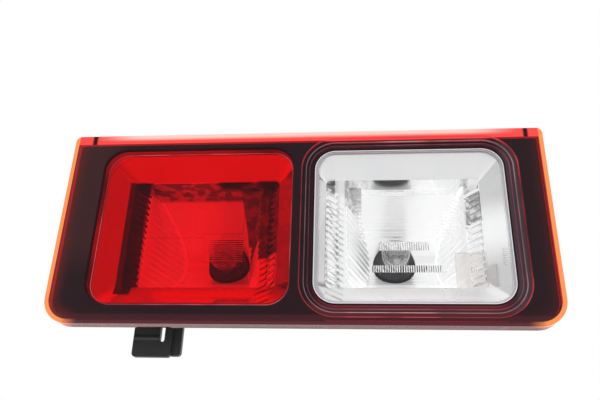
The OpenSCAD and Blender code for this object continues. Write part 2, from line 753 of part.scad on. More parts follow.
// Cap over the breather, clear of the membrane and of the tub
module breather_cap() {
    wall = 1.2;
    top = tub_back + spout_h + 0.3 + wall + fit;
    mouth = tub_back + wall;
    color([0.15, 0.15, 0.15]) turned(0, breather_z) polygon([
        [0, top], [cap_r - wall / 2, top], [cap_r, top - wall / 2], [cap_r, mouth],
        [cap_r - wall, mouth], [cap_r - wall, top - wall], [0, top - wall]]);
}

outer_lens();
reverse_lens();
bezel();
fog_reflector();
reverse_reflector();
housing();
lens_seal();
bulb_glass(fog_bulb_x);  // fog_bulb_glass
bulb_filament(fog_bulb_x);  // fog_bulb_filament
bulb_leads(fog_bulb_x);  // fog_bulb_leads
bulb_holder(fog_bulb_x);  // fog_bulb_holder
holder_contacts(fog_bulb_x);  // fog_holder_contacts
holder_seal(fog_bulb_x);  // fog_holder_seal
bulb_glass(reverse_bulb_x);  // reverse_bulb_glass
bulb_filament(reverse_bulb_x);  // reverse_bulb_filament
bulb_leads(reverse_bulb_x);  // reverse_bulb_leads
bulb_holder(reverse_bulb_x);  // reverse_bulb_holder
holder_contacts(reverse_bulb_x);  // reverse_holder_contacts
holder_seal(reverse_bulb_x);  // reverse_holder_seal
mount_inserts();
reflector_screws();
breather_membrane();
breather_cap();
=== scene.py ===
import functools
import math

import bmesh
import bpy
from mathutils import Matrix, Vector


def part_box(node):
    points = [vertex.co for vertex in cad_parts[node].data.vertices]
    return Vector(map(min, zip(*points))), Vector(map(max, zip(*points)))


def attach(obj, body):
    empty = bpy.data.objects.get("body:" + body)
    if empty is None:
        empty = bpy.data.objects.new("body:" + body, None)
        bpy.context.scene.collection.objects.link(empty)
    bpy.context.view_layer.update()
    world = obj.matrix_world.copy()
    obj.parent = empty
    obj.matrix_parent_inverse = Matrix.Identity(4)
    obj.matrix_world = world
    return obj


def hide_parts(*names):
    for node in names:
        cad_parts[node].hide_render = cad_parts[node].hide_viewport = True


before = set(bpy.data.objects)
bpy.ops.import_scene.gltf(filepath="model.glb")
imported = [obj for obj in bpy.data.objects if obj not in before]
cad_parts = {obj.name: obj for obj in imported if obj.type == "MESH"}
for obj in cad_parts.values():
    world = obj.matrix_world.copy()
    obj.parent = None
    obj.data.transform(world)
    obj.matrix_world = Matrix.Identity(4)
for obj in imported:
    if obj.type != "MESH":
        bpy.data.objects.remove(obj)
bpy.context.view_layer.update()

mm = 0.001
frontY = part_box("outer_lens")[0][1]
# The two chambers, and which way each lies from the middle of the lamp
outward = {"fog": -1, "reverse": 1}

# Where the camera stands: millimetres from the middle of the rear bosses, and degrees
cameraView = {
    "place": (30.6, -370.33, -126.7),
    "pitch": 25.07,  # looks up by this
    "yaw": 5.86,
    "roll": 1.87,
    "focalPixels": 642,
    "frameWidth": 600,
    "sensorWidth": 36,
    "clipStart": 10,
}


def aimCamera(view):
    camera = bpy.data.objects.new("camera", bpy.data.cameras.new("camera"))
    camera.data.sensor_width = view["sensorWidth"]
    camera.data.lens = view["focalPixels"] / view["frameWidth"] * view["sensorWidth"]
    camera.data.clip_start = view["clipStart"] * mm
    # image axes of the view: x to the right, y down, z into the picture
    upright = Matrix(((1, 0, 0), (0, 0, -1), (0, 1, 0)))
    roll = Matrix.Rotation(math.radians(view["roll"]), 3, "Z")
    pitch = Matrix.Rotation(math.radians(-view["pitch"]), 3, "X")
    yaw = Matrix.Rotation(math.radians(view["yaw"]), 3, "Y")
    rows = roll @ pitch @ yaw @ upright
    turn = Matrix((rows[0], -rows[1], -rows[2])).transposed()
    camera.matrix_world = Matrix.Translation(Vector(view["place"]) * mm) @ turn.to_4x4()
    bpy.context.scene.collection.objects.link(camera)
    bpy.context.scene.camera = camera


aimCamera(cameraView)
print("camera placed")

lineCore = 0.3  # the part of a drawn line's half width that has its full colour


# One output socket of a material, with arithmetic; spans are pairs in millimetres, a base is in metres
class Wire:
    def __init__(self, finish, socket):
        self.finish = finish
        self.socket = socket

    def maths(self, operation, *values):
        return self.finish.node("ShaderNodeMath", {"operation": operation}, values)

    def __add__(self, other):
        return self.maths("ADD", self, other)

    def __sub__(self, other):
        return self.maths("SUBTRACT", self, other)

    def __rsub__(self, other):
        return self.maths("SUBTRACT", other, self)

    def __mul__(self, other):
        return self.maths("MULTIPLY", self, other)

    def root(self):
        return self.maths("SQRT", self)

    def size(self):
        return self.maths("ABSOLUTE", self)

    def above(self, other):
        return self.maths("MAXIMUM", self, other)

    def below(self, other):
        return self.maths("MINIMUM", self, other)

    def wave(self, pitch):
        return self.maths("SINE", self * (2 * math.pi / (pitch * mm)))

    def ramp(self, low, high, bottom=0.0, top=1.0):
        return self.finish.node(
            "ShaderNodeMapRange",
            {"interpolation_type": "SMOOTHSTEP"},
            (self, low, high, bottom, top),
        )

    # 0 before a span and 1 after it
    def rise(self, span, base=0.0, bottom=0.0, top=1.0):
        return self.ramp(base + span[0] * mm, base + span[1] * mm, bottom, top)

    # 1 before a span and 0 after it
    def fall(self, span, base=0.0, top=1.0, bottom=0.0):
        return self.rise(span, base, top, bottom)

    # 1 inside a span, with soft ends
    def within(self, span, soft):
        low, high = span
        return self.rise((low - soft, low + soft)) * self.fall((high - soft, high + soft))

    # 1 on a line at a place
    def near(self, at, half):
        return (self - at * mm).size().fall((half * lineCore, half))


# The strongest of some masks at each point
def strongest(masks):
    return functools.reduce(Wire.above, masks)


class Finish:
    def __init__(self, owner):
        owner.use_nodes = True
        self.owner = owner
        self.tree = owner.node_tree
        self.tree.nodes.clear()

    def feed(self, socket, value):
        if isinstance(value, Wire):
            self.tree.links.new(value.socket, socket)
        elif isinstance(value, tuple) and len(value) == 3 and socket.type == "RGBA":
            socket.default_value = (*value, 1)
        else:
            socket.default_value = value

    def node(self, kind, settings, inputs=(), out=0):
        made = self.tree.nodes.new(kind)
        for key, value in settings.items():
            setattr(made, key, value)
        pairs = inputs.items() if isinstance(inputs, dict) else enumerate(inputs)
        for key, value in pairs:
            self.feed(made.inputs[key], value)
        return None if out is None else Wire(self, made.outputs[out])

    def place(self):
        return self.node("ShaderNodeTexCoord", {}, out="Object")

    def axes(self):
        place = self.place()
        return [self.node("ShaderNodeSeparateXYZ", {}, (place,), out=k) for k in range(3)]

    def noise(self, scale, detail=2.0):
        inputs = {"Vector": self.place(), "Scale": scale, "Detail": detail}
        return self.node("ShaderNodeTexNoise", {}, inputs)

    # Noise stretched out between two of its values
    def clouds(self, scale, detail=2.0, between=(0.3, 0.7), bottom=0.0, top=1.0):
        return self.noise(scale, detail).ramp(*between, bottom, top)

    def blend(self, amount, low, high):
        # the colour sockets of this node: 6 and 7 go in, 2 comes out
        return self.node("ShaderNodeMix", {"data_type": "RGBA"}, {0: amount, 6: low, 7: high}, out=2)

    def bump(self, height, distance):
        return self.node("ShaderNodeBump", {}, {"Height": height, "Distance": distance})

    # Distance outside a rounded pane given in millimetres, negative inside it
    def outside(self, x, z, pane, radius):
        left, right, bottom, top = pane
        across = (x - (left + right) / 2 * mm).size() - ((right - left) / 2 - radius) * mm
        up = (z - (bottom + top) / 2 * mm).size() - ((top - bottom) / 2 - radius) * mm
        corner = (across.above(0) * across.above(0) + up.above(0) * up.above(0)).root()
        return corner + across.above(up).below(0) - radius * mm

    def principled(self, sockets):
        return self.node("ShaderNodeBsdfPrincipled", {}, sockets)

    def glass(self, colour, index, roughness=0.0):
        sockets = {"Base Color": colour, "Roughness": roughness, "Transmission Weight": 1.0, "IOR": index}
        return self.principled(sockets)

    # A solid face that shines a little by itself
    def glowing(self, colour, strength, roughness, index=1.5):
        sockets = {"Base Color": colour, "Roughness": roughness, "IOR": index}
        return self.principled({**sockets, "Emission Color": colour, "Emission Strength": strength})

    def mixed(self, amount, first, second):
        return self.node("ShaderNodeMixShader", {}, (amount, first, second))

    def close(self, shader, kind="ShaderNodeOutputMaterial"):
        self.node(kind, {}, {"Surface": shader}, out=None)
        return self.owner


def startFinish(name):
    return Finish(bpy.data.materials.new(name))


# The two windows of the lens: left, right, low and high edge
windows = {
    "fog": (-105.5, -4.5, -41.35, 42.85),
    "reverse": (7.5, 104.1, -41.55, 41.55),
    "radius": 11,
}

lensLook = {
    "face": (0.97, 0.01, 0.016),
    "index": 1.36,
    "roughness": 0.1,
    "glow": 0.32,
    "dark": (0.012, 0.006, 0.008),
    "frontDepth": (2.2, 2.4),  # what lies deeper is no front face
    # painted light: the orange glow of the rim and a dimmer red glow spreading inwards beside it, counted
    # inwards from the outline
    "cornerRadius": 13,
    "rimGlow": (1.0, 0.3, 0.085),
    "rimWidth": (1.9, 2.3),
    "rimSides": (-19, -9),  # from each end of the lens
    "rimInnerGlow": (0.16, 0.02, 0.017),
    "rimInnerGlowWidth": (2.1, 10.1),
    "rimInnerGlowAmount": 0.8,
    "rimInnerGlowTint": 1.2,
    "rimInnerGlowMiddle": (-10, 10),
    "rimInnerGlowRight": 0.3,
    # painted light along the top edge, where light comes through the top wall, with a painted highlight
    # and dark marks across it, counted from that edge
    "topLitBand": (0.96, 0.07, 0.06),
    "topBandHeight": (-5.45, -4.95),
    "topGlow": (1.0, 0.6, 0.52),
    "topGlowHeight": (-3.8, -1.2),
    "topGlowEnds": (9, 40),  # from each end of the lens
    "topMarks": ((-114.0, 2), (116.5, 1.8)),  # place and half width
    # painted light: a lighter band along the low edge, in two steps: height and amount
    "lowLitBand": (0.14, 0.032, 0.042),
    "lowBandSteps": (((4.2, 5.4), 0.42), ((1.2, 2.6), 0.8)),
    # the dark mask between and round the windows
    "mask": (0.02, 0.012, 0.014),
    "maskEdge": (0.3, 1.3),
    "maskAmount": 0.62,
    "leftSheen": (0.056, 0.022, 0.022),
    "leftSheenTo": (-108.0, -92.0),
    "leftSheenHeight": (-32, -8),
    # painted highlights on the steps of the ring: distance from the window, half width, colour
    "ringHighlights": (
        (6.75, 0.42, (0.7, 0.075, 0.09)),
        (4.5, 0.34, (0.52, 0.3, 0.33)),
        (2.7, 0.34, (0.28, 0.1, 0.14)),
    ),
    "lineHeight": (10, 40),
    "lineLevel": 0.5,  # what is left of the lines half way up the lamp
    "shimmer": {"scale": 55, "detail": 1, "between": (0.35, 0.65), "bottom": 0.5},
    # sheen in the ring's steps at the right and below
    "trench": (-0.2, 6.6),
    "trenchSoft": 0.3,
    "sheenAmount": 0.75,
    "rightSheen": (0.085, 0.055, 0.066),
    "rightSheenFrom": (99.0, 105.0),
    "lowSheen": (0.13, 0.03, 0.032),
    "lowSheenTo": (-44.0, -38.0),
    # painted shade: a dark line along the edge of the opening for the clear lens
    "paintedHem": (-0.4, 0.75),
    "hemSoft": 0.1,
    "hemDepth": (3.4, 3.6),
    # painted light: a thin bright line round the red window
    "sillLight": (0.95, 0.13, 0.16),
    "sillPane": (-102.8, -3.9, -42.8, 39.8),
    "sillHalf": 0.34,
    "sillAmount": 0.75,
}


# Red acrylic, with a painted orange glow where the skirt stands behind the front face
def redLensFinish(look):
    low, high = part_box("outer_lens")
    finish = startFinish("red lens")
    x, y, z = finish.axes()
    cornerRadius = look["cornerRadius"] * mm
    beside = x.size() - (high[0] - cornerRadius)
    under = (cornerRadius - high[2]) - z
    edge = cornerRadius - (beside.above(0) * beside.above(0) + under.above(0) * under.above(0)).root()
    front = y.fall(look["frontDepth"], low[1])
    sides = x.size().rise(look["rimSides"], high[0]) * front
    # painted light: the orange glow of the rim, and a dimmer red glow that spreads inwards from it
    rimGlow = edge.fall(look["rimWidth"]) * sides
    rimInnerGlow = edge.fall(look["rimInnerGlowWidth"], top=look["rimInnerGlowAmount"]) * sides
    rimInnerGlow = rimInnerGlow * x.fall(look["rimInnerGlowMiddle"], bottom=look["rimInnerGlowRight"])
    # painted light: a lighter band along the low edge
    lowLitBand = strongest(z.fall(height, -high[2], top) for height, top in look["lowBandSteps"]) * front
    # painted light: the bright band along the top edge and its painted highlight
    litBand = z.rise(look["topBandHeight"], high[2]) * front
    end, full = look["topGlowEnds"]
    glow = z.rise(look["topGlowHeight"], high[2])
    glow = glow * x.rise((end, full), low[0]) * x.fall((-full, -end), high[0])
    marks = strongest(x.near(at, half) for at, half in look["topMarks"])
    ring = finish.outside(x, z, windows["reverse"], windows["radius"])
    fog = finish.outside(x, z, windows["fog"], windows["radius"])
    mask = ring.below(fog).rise(look["maskEdge"]) * front * look["maskAmount"]
    level = z.size().rise(look["lineHeight"], bottom=look["lineLevel"])
    shimmer = finish.clouds(**look["shimmer"])

    leftSheen = x.fall(look["leftSheenTo"]) * z.rise(look["leftSheenHeight"])
    maskTone = finish.blend(leftSheen, look["mask"], look["leftSheen"])
    maskTone = finish.blend(rimInnerGlow * look["rimInnerGlowTint"], maskTone, look["rimInnerGlow"])
    bandTone = finish.blend(glow, look["topLitBand"], look["topGlow"])
    bandTone = finish.blend(marks, bandTone, look["dark"])
    colour = finish.blend(litBand, maskTone, bandTone)
    colour = finish.blend(lowLitBand, colour, look["lowLitBand"])
    trench = ring.within(look["trench"], look["trenchSoft"]) * front
    rightSheen = trench * x.rise(look["rightSheenFrom"]) * look["sheenAmount"]
    lowSheen = trench * z.fall(look["lowSheenTo"]) * look["sheenAmount"]
    colour = finish.blend(lowSheen, colour, look["lowSheen"])
    colour = finish.blend(rightSheen, colour, look["rightSheen"])
    lit = strongest((litBand, rimInnerGlow, lowLitBand, mask, lowSheen, rightSheen))
    # painted highlight lines on the steps of the ring
    for at, half, tone in look["ringHighlights"]:
        highlightLine = ring.near(at, half) * front * level * shimmer
        colour = finish.blend(highlightLine, colour, tone)
        lit = lit.above(highlightLine)
    # painted shade along the edge of the opening for the clear lens
    paintedHem = ring.within(look["paintedHem"], look["hemSoft"]) * y.fall(look["hemDepth"], low[1])
    colour = finish.blend(paintedHem, colour, look["dark"])
    # painted light: a thin bright line round the red window
    pane = finish.outside(x, z, look["sillPane"], windows["radius"])
    sillLight = pane.near(0, look["sillHalf"]) * front * shimmer * look["sillAmount"]
    colour = finish.blend(sillLight, colour, look["sillLight"])
    colour = finish.blend(rimGlow, colour, look["rimGlow"])
    lit = strongest((lit, paintedHem, sillLight, rimGlow))
    glass = finish.glass(look["face"], look["index"])
    solid = finish.glowing(colour, look["glow"], look["roughness"], look["index"])
    return finish.close(finish.mixed(lit, glass, solid))


clearLook = {
    "clear": ((0.985, 0.99, 0.99), (1.0, 1.0, 1.0)),
    "hazeScale": 40,
    "roughness": 0.12,
    "glow": 0.25,
    # a painted highlight on the lens's edge and painted shade on its bead, counted inwards from the window
    "edge": (0.93, 0.93, 0.95),
    "edgeLine": (0.25, 0.3),  # place and half width
    "bead": (0.42, 0.41, 0.44),
    "beadStart": (0, 0.3),
    "beadWidth": (0.3, 2.0),
    "beadAmount": 0.8,
    # the painted shade on the bead is darker at the left
    "leftBeadWidth": (0.6, 3.4),
    "leftBeadAmount": 0.9,
    "leftBeadTo": (7, 9),
    # pads that look frosted: left, right, low, high
    "pads": ((76.3, 83.6, -32.8, -15.5), (84.2, 91.0, -23.8, -15.5), (84.2, 91.0, -32.8, -24.4)),
    "padRadius": 0.8,
    "padEdge": (-0.25, 0.1),
    # painted highlight lines round the pads
    "padLine": 0.25,
    "padLineAmount": 0.22,
    "frost": (0.87, 0.84, 0.81),
    "frostRoughness": 0.2,
}


def clearLensFinish(look):
    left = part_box("reverse_lens")[0][0]
    finish = startFinish("clear lens")
    x, _, z = finish.axes()
    inside = finish.outside(x, z, windows["reverse"], windows["radius"]) * -1
    # painted highlights on the edge and round the pads, and painted shade on the bead
    highlightLine = inside.near(*look["edgeLine"])
    bead = inside.fall(look["beadWidth"], top=look["beadAmount"])
    leftBeadShade = inside.fall(look["leftBeadWidth"], top=look["leftBeadAmount"])
    leftBeadShade = leftBeadShade * (x - left).fall(look["leftBeadTo"])
    bead = bead.above(leftBeadShade) * inside.rise(look["beadStart"])
    frosted = 0
    for pad in look["pads"]:
        reach = finish.outside(x, z, pad, look["padRadius"])
        frosted = reach.fall(look["padEdge"]) + frosted
        highlightLine = highlightLine.above(reach.near(0, look["padLine"]) * look["padLineAmount"])
    colour = finish.blend(finish.clouds(look["hazeScale"]), *look["clear"])
    colour = finish.blend(frosted, colour, look["frost"])
    glass = finish.glass(colour, lensLook["index"], frosted * look["frostRoughness"])
    solid = finish.glowing(finish.blend(highlightLine, look["bead"], look["edge"]), look["glow"], look["roughness"])
    return finish.close(finish.mixed(highlightLine.above(bead), glass, solid))


trayLook = {
    "low": (0.004, 0.003, 0.004),
    "high": (0.008, 0.006, 0.008),
    "toneScale": 25,
    # painted highlight: a light line along the edge of the fog window
    "paintedHem": (0.85, 0.32, 0.3),
    "hemWidth": (0.4, 0.5),
    "hemClouds": {"scale": 30, "detail": 1, "between": (0.35, 0.6), "bottom": 0.25},
    "grainScale": 900,
    "grainDetail": 3,
    "grainDepth": 0.02,
    "grainBetween": (0.2, 0.8),
    "roughness": (0.3, 0.4),
    "specular": 0.15,
}


def trayFinish(look):
    finish = startFinish("tray black")
    x, _, z = finish.axes()
    # painted highlight along the edge of the fog window
    paintedHem = finish.outside(x, z, windows["fog"], windows["radius"]).fall(look["hemWidth"])
    paintedHem = paintedHem * finish.clouds(**look["hemClouds"])
    grain = finish.noise(look["grainScale"], look["grainDetail"])
    tone = finish.blend(finish.clouds(look["toneScale"]), look["low"], look["high"])
    return finish.close(finish.principled({
        "Base Color": finish.blend(paintedHem, tone, look["paintedHem"]),
        "Roughness": grain.ramp(*look["grainBetween"], *look["roughness"]),
        "Specular IOR Level": look["specular"],
        "Normal": finish.bump(grain, look["grainDepth"] * mm),
    }))


# The reflectors: x is counted away from the middle of the lamp, all in millimetres
reflectorLook = {
    "bright": (0.97, 0.97, 0.97),
    "cloudy": (0.93, 0.935, 0.94),
    "paintedShade": (0.035, 0.033, 0.036),
    "cloudScale": 30,
    "roughness": 0.09,
    "cloudRoughness": 0.04,
    "satinRoughness": 0.25,
    "facets": {"scale": 160, "detail": 1, "between": (0.42, 0.55), "bottom": 0.55, "top": 0},
    # patches of painted shade, dark reflections painted on the mirror: x from, x to, z from, z to, depth
    # from, depth to, how dark, how faceted
    "patches": {
        "fog": (
            (86.3, 94.6, -35.0, 29.2, 9.0, 21.5, 0.97, 0),
            (12.0, 92.0, 26.2, 30, 14, 44, 0.85, 0.7),
            (12.0, 24.0, -12, 30, 12.8, 24, 0.95, 0.2),
            (22.0, 35.5, 0, 30, 22, 60, 0.92, 0.3),
            (4.0, 12.4, -28, 29, 5, 13.5, 0.42, 0.5),
        ),
        "reverse": (
            (12.9, 17.5, 23, 30, 12.8, 20, 0.8, 1),
            (84.0, 93.0, 5.5, 22, 12.8, 22.4, 0.62, 1),
            (84.0, 88.0, 24, 29, 12.8, 22.4, 0.45, 1),
            (22.5, 31.5, 18, 30, 21.5, 42, 0.5, 1),
        ),
    },
    "patchSoft": (0.4, 0.7, 0.5),
    # slanted shade lines on the ledge beside the middle of the lamp
    "strokes": {"fog": 0.7, "reverse": 0.45},
    "strokePitch": 3.4,
    "strokeSlant": 0.55,
    "strokeBetween": (0.1, 0.8),
    "strokeSpan": (13.2, 21.9),
    "strokeSoft": 0.3,
    "strokeDepth": (22, 22.6),
    "strokeTop": (14, 22),
    "strokeFacets": (0, 0.5, 1, 0.45),
    # painted shade on the outer wall in front of the ledge, as far as its mitres with the top and low
    # walls
    "smokyMitre": (58, 67),
    "smokyDepth": (12.5, 13.5),
    "smokySlope": {"fog": 0.45, "reverse": 0.0},
    "outerWallMitre": (64.5, 66),
    "outerWallShift": 1,
    "outerWallHeight": (2, 22),
    "outerWallShade": {"fog": 0.1, "reverse": 0.36},
    # the bowl's ends: x at the start, where they start, and how they lean in with depth
    "ends": {"fog": (22.3, 85.8), "reverse": (23.2, 86.7)},
    "endStart": 21,
    "endFall": 0.263,
    "innerEndReach": (0.9, 1.3),
    "innerEndDepth": (21.5, 22.5),
    "outerEndReach": (1.3, 1.8),
    "outerEndDepth": (21, 22),
    # how far the surfaces below are from a mirror, and where they lie; these surfaces also glow with
    # painted light
    "satin": 0.75,
    "bowlDepth": (22, 26),
    "floorTop": (-16, -13),
    "middleSatin": 0.55,
    "middleDepth": (24, 30),
    "innerWallSatin": 0.6,
    "innerWallTo": (12.6, 12.9),
    "innerWallHeight": (27, 30),
    "slopeDepth": (12.8, 13.2),
    "topWallSatin": {"fog": 0.0, "reverse": 0.35},
    "topWallFrom": (29, 29.6),
    "lowWallSatin": {"fog": 0.0, "reverse": 0.6},
    "lowWallTo": (-31, -30),
    "lift": {"fog": 0.3, "reverse": 0.345},  # how much they shine by themselves
    # streaks across the low part of the bowl
    "streakTop": (-9, -5),
    "streakPitch": 2.3,
    "streakHeight": {"fog": 0.03, "reverse": 0.13},
}


def reflectorFinish(side, look):
    finish = startFinish(f"{side} reflector")
    x, y, z = finish.axes()
    out = x * outward[side]
    depth = y - frontY
    mitre = out - z.size()
    cloud = finish.clouds(look["cloudScale"])
    facets = finish.clouds(**look["facets"])

    # painted shade: dark reflections painted on the mirror in patches, shade lines and slopes
    paintedShade = 0
    softX, softZ, softDepth = look["patchSoft"]
    for x0, x1, z0, z1, d0, d1, amount, faceted in look["patches"][side]:
        patch = out.within((x0, x1), softX) * z.within((z0, z1), softZ)
        patch = patch * depth.within((d0, d1), softDepth) * amount
        paintedShade = (patch * (1 - facets * faceted)).above(paintedShade)
    strokes = (z + out * look["strokeSlant"]).wave(look["strokePitch"]).ramp(*look["strokeBetween"])
    strokes = strokes * out.within(look["strokeSpan"], look["strokeSoft"])
    strokes = strokes * depth.fall(look["strokeDepth"]) * z.fall(look["strokeTop"])
    strokes = strokes * facets.ramp(*look["strokeFacets"])
    paintedShade = paintedShade.above(strokes * look["strokes"][side])
    # painted shade on the front slope
    smoky = mitre.rise(look["smokyMitre"]) * depth.fall(look["smokyDepth"])
    paintedShade = paintedShade.above(smoky * look["smokySlope"][side])
    slope = depth.fall(look["slopeDepth"])
    outerWall = mitre.rise(look["outerWallMitre"]) * slope
    outerWall = outerWall * (z + look["outerWallShift"] * mm).size().rise(look["outerWallHeight"])
    paintedShade = paintedShade.above(outerWall * look["outerWallShade"][side])

    inner, outer = look["ends"][side]
    lean = (depth - look["endStart"] * mm) * look["endFall"]
    outerEnd = (out + lean - outer * mm).size().fall(look["outerEndReach"])
    outerEnd = outerEnd * depth.rise(look["outerEndDepth"])
    innerEnd = (out - lean - inner * mm).fall(look["innerEndReach"])
    innerEnd = innerEnd * depth.rise(look["innerEndDepth"])
    inBowl = depth.rise(look["bowlDepth"])
    floor = z.fall(look["floorTop"]) * inBowl
    middle = depth.rise(look["middleDepth"]) * look["middleSatin"]
    innerWall = out.fall(look["innerWallTo"]) * z.size().fall(look["innerWallHeight"])
    innerWall = innerWall * look["innerWallSatin"]
    topWall = z.rise(look["topWallFrom"]) * slope * look["topWallSatin"][side]
    lowWall = z.fall(look["lowWallTo"]) * slope * look["lowWallSatin"][side]
    satin = strongest((outerEnd, innerEnd, floor, middle, innerWall, topWall, lowWall))
    streaks = z.wave(look["streakPitch"]) * (z.fall(look["streakTop"]) * inBowl)
    clean = finish.blend(cloud, look["cloudy"], look["bright"])
    return finish.close(finish.principled({
        "Base Color": finish.blend(paintedShade, clean, look["paintedShade"]),
        "Metallic": 1 - satin * look["satin"],
        # painted light: the satin parts shine by themselves, except under painted shade
        "Emission Color": finish.blend(satin * (1 - paintedShade), (0.0, 0.0, 0.0), look["bright"]),
        "Emission Strength": look["lift"][side],
        "Roughness": cloud * look["cloudRoughness"] + satin * look["satinRoughness"] + look["roughness"],
        "Normal": finish.bump(streaks * look["streakHeight"][side], mm),
    }))


plasticGrain = {
    "scale": 1400,
    "detail": 3,
    "between": (0.2, 0.8),
    "smoother": 0.06,
    "rougher": 0.08,
    "toneScale": 18,
}
plastics = {
    "housing black": {
        "tones": ((0.038, 0.037, 0.038), (0.052, 0.051, 0.053)),
        "roughness": 0.38,
        "grainDepth": 0.06,
    },
    # what shows of a bulb holder through the bowl's hole lies in the dark
    "holder grey": {
        "tones": ((0.055, 0.055, 0.058), (0.075, 0.075, 0.08)),
        "roughness": 0.36,
        "grainDepth": 0.04,
        "shade": (0.012, 0.012, 0.015),
        "shadeDepth": (70, 71),
    },
    "seal rubber": {
        "tones": ((0.018, 0.018, 0.018), (0.028, 0.028, 0.028)),
        "roughness": 0.6,
        "grainDepth": 0.03,
    },
    "membrane": {
        "tones": ((0.75, 0.75, 0.74), (0.82, 0.82, 0.81)),
        "roughness": 0.6,
        "grainDepth": 0.03,
    },
}


def plasticFinish(name, look):
    finish = startFinish(name)
    grain = finish.noise(plasticGrain["scale"], plasticGrain["detail"])
    tone = finish.blend(finish.clouds(plasticGrain["toneScale"]), *look["tones"])
    if "shade" in look:
        depth = finish.axes()[1] - frontY
        tone = finish.blend(depth.fall(look["shadeDepth"]), tone, look["shade"])
    smooth = look["roughness"] - plasticGrain["smoother"]
    rough = look["roughness"] + plasticGrain["rougher"]
    return finish.close(finish.principled({
        "Base Color": tone,
        "Roughness": grain.ramp(*plasticGrain["between"], smooth, rough),
        "Normal": finish.bump(grain, look["grainDepth"] * mm),
    }))


metalStreaks = {
    "scale": 700,
    "detail": 2,
    "roughness": 0.12,
}
metals = {
    "zinc steel": {
        "tones": ((0.72, 0.73, 0.74), (0.82, 0.82, 0.81)),
        "roughness": 0.2,
    },
    "brass": {
        "tones": ((0.65, 0.48, 0.22), (0.75, 0.58, 0.3)),
        "roughness": 0.22,
    },
    "tungsten": {
        "tones": ((0.3, 0.3, 0.31), (0.42, 0.42, 0.42)),
        "roughness": 0.3,
    },
}


def metalFinish(name, look):
    finish = startFinish(name)
    streak = finish.clouds(metalStreaks["scale"], metalStreaks["detail"])
    return finish.close(finish.principled({
        "Base Color": finish.blend(streak, *look["tones"]),
        "Metallic": 1.0,
        "Roughness": streak * metalStreaks["roughness"] + look["roughness"],
    }))


# Distances here are counted from the middle of the bulb
bulbLook = {
    "clear": ((0.97, 0.98, 0.98), (1.0, 1.0, 1.0)),
    "hazeScale": 120,
    "index": 1.47,
    # grey where the bulb mirrors its surroundings
    "glint": (0.3, 0.29, 0.3),
    "glintAmount": {"fog": 0.06, "reverse": 0.75},
    "glintClouds": {"scale": 260, "detail": 1, "between": (0.35, 0.6), "bottom": 0.4},
    "glintLeft": (-4.6, -3.4),
    "glintLow": (-4.0, -3.0),
    "glintHigh": (-1, 3),
    "glintTop": 0.2,  # what is left of it above that
    "glow": 0.32,
    "roughness": 0.1,
    # the bright spot on the tip
    "tip": (0.97, 0.96, 0.97),
    "tipPlace": (1.6, 1.3),
    "tipRadius": (1.7, 2.9),
}


def bulbGlassFinish(side, look):
    low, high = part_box(f"{side}_bulb_glass")
    middleX, _, middleZ = [(low[k] + high[k]) / 2 for k in range(3)]
    finish = startFinish(f"{side} bulb glass")
    x, _, z = finish.axes()
    right = x - middleX
    up = z - middleZ
    glint = right.rise(look["glintLeft"]) * up.rise(look["glintLow"])
    glint = glint * finish.clouds(**look["glintClouds"]) * look["glintAmount"][side]
    glint = glint * up.fall(look["glintHigh"], bottom=look["glintTop"])
    tipX, tipZ = look["tipPlace"]
    tipRight = x - (middleX + tipX * mm)
    tipUp = z - (middleZ + tipZ * mm)
    tip = (tipRight * tipRight + tipUp * tipUp).root().fall(look["tipRadius"])
    tone = finish.blend(tip, look["glint"], look["tip"])
    colour = finish.blend(finish.clouds(look["hazeScale"]), *look["clear"])
    glass = finish.glass(colour, look["index"])
    bright = finish.glowing(tone, look["glow"], look["roughness"])
    return finish.close(finish.mixed(glint, glass, bright))


finishes = {name: plasticFinish(name, look) for name, look in plastics.items()}
finishes.update({name: metalFinish(name, look) for name, look in metals.items()})
finishOfNode = {
    "outer_lens": redLensFinish(lensLook),
    "reverse_lens": clearLensFinish(clearLook),
    "bezel": trayFinish(trayLook),
    "housing": finishes["housing black"],
    "lens_seal": finishes["seal rubber"],
    "mount_inserts": finishes["brass"],
    "reflector_screws": finishes["zinc steel"],
    "breather_membrane": finishes["membrane"],
    "breather_cap": finishes["seal rubber"],
}
for side in outward:
    finishOfNode.update({
        f"{side}_reflector": reflectorFinish(side, reflectorLook),
        f"{side}_bulb_glass": bulbGlassFinish(side, bulbLook),
        f"{side}_bulb_filament": finishes["tungsten"],
        f"{side}_bulb_leads": finishes["zinc steel"],
        f"{side}_bulb_holder": finishes["holder grey"],
        f"{side}_holder_contacts": finishes["brass"],
        f"{side}_holder_seal": finishes["seal rubber"],
    })
for name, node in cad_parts.items():
    node.data.materials.clear()
    node.data.materials.append(finishOfNode[name])
print("finishes set")


# Point on the lamp in millimetres: x, depth behind the lens front, z
def spot(x, depth, z):
    return Vector((x * mm, frontY + depth * mm, z * mm))


def makePiece(name, form, finish, smooth=True):
    bmesh.ops.recalc_face_normals(form, faces=form.faces)
    mesh = bpy.data.meshes.new(name)
    form.to_mesh(mesh)
    form.free()
    for face in mesh.polygons:
        face.use_smooth = smooth
    mesh.materials.append(finish)
    piece = bpy.data.objects.new(name, mesh)
    bpy.context.scene.collection.objects.link(piece)
    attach(piece, "root")
    return piece


# A closed cylinder along z about the origin, and its points
def addCylinder(form, radius, depth, segments):
    return bmesh.ops.create_cone(form, cap_ends=True, segments=segments, radius1=radius,
                                 radius2=radius, depth=depth)["verts"]


